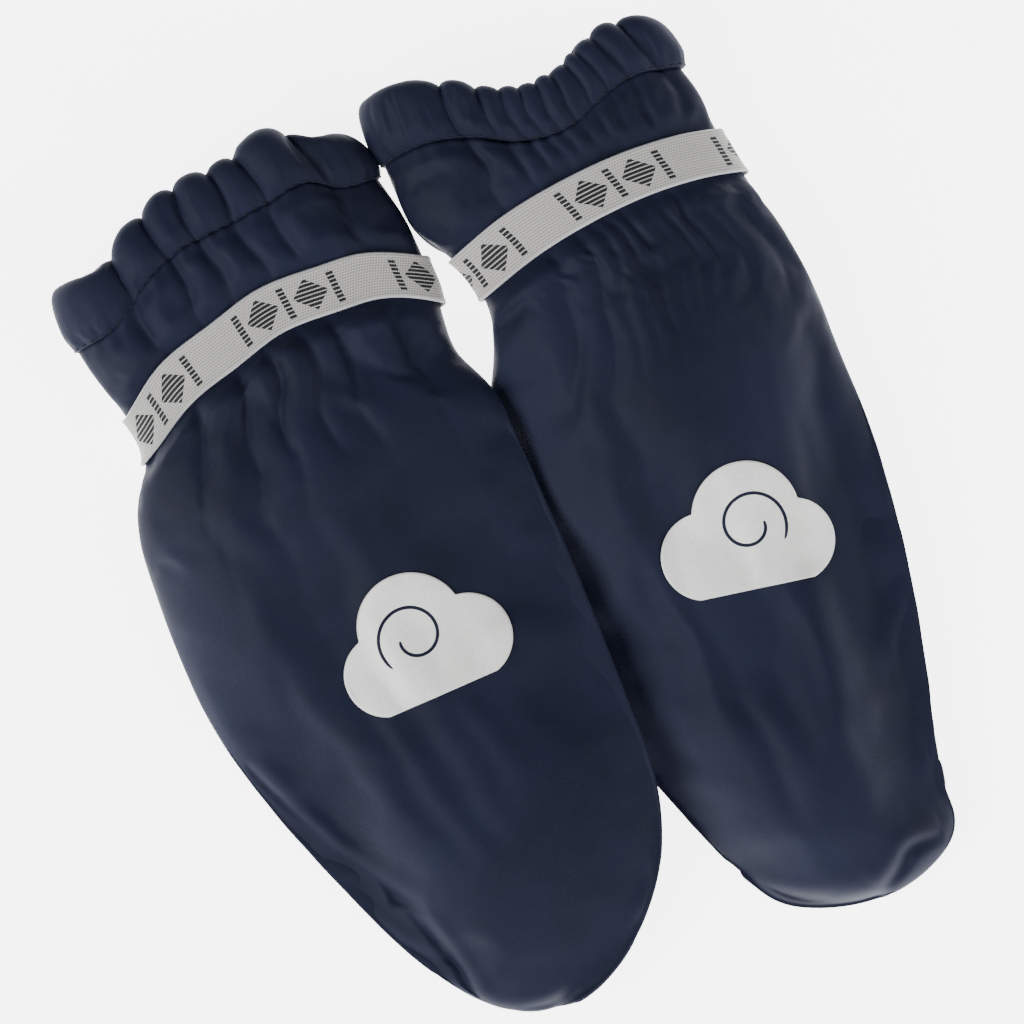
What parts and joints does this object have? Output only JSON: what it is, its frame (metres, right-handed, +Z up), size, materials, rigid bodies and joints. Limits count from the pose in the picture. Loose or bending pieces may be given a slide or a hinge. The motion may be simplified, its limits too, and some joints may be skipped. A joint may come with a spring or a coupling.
{
  "type": "padded mitten pair",
  "caption": "Pair of thumbless padded toddler mittens with gathered elastic cuffs, wrist straps and reflective cloud prints, lying flat with one lapped over the other.",
  "frame": {"origin": "on the table, below the middle of the pair", "axes": "+X across the pair from the left mitten to the right one, +Y from the tips to the cuffs, +Z up from the table"},
  "size_m": [0.182, 0.2294, 0.0278],
  "materials": {
    "navy_shell": "smooth water-repellent woven polyester, soft matt with a faint sheen",
    "wadding": "soft needled polyester wadding",
    "fleece": "brushed polyester fleece, matt with a short nap",
    "strap_webbing": "ribbed woven elastic with a raised edge and black knitted ribs",
    "reflective_print": "silver-white heat-pressed reflective film, fine bead grain",
    "cuff_elastic": "braided white elastic",
    "navy_thread": "twisted polyester sewing thread, slight sheen"
  },
  "bodies": {
    "right_hand": {"right_front_shell": "navy_shell", "right_back_shell": "navy_shell", "right_front_padding": "wadding", "right_back_padding": "wadding", "right_lining": "fleece", "right_wrist_strap": "strap_webbing", "right_strap_tack": "navy_thread", "right_print": "reflective_print"},
    "right_cuff": {"right_cuff_casing": "navy_shell", "right_cuff_elastic": "cuff_elastic", "right_casing_stitching": "navy_thread"},
    "left_hand": {"left_front_shell": "navy_shell", "left_back_shell": "navy_shell", "left_front_padding": "wadding", "left_back_padding": "wadding", "left_lining": "fleece", "left_wrist_strap": "strap_webbing", "left_strap_tack": "navy_thread", "left_print": "reflective_print"},
    "left_cuff": {"left_cuff_casing": "navy_shell", "left_cuff_elastic": "cuff_elastic", "left_casing_stitching": "navy_thread"}
  },
  "joints": [
    {"name": "left_lift", "type": "slide", "parent": "right_hand", "child": "left_hand", "axis": [0, 0, 1], "range_m": [0, 0.08]},
    {"name": "left_cuff_fold", "type": "hinge", "parent": "left_hand", "child": "left_cuff", "pos_m": [-0.0425, 0.094, 0.0138], "axis": [1, 0, 0], "range_deg": [0, 45]},
    {"name": "right_cuff_fold", "type": "hinge", "parent": "right_hand", "child": "right_cuff", "pos_m": [0.0425, 0.088, 0.0138], "axis": [1, 0, 0], "range_deg": [0, 45]}
  ]
}
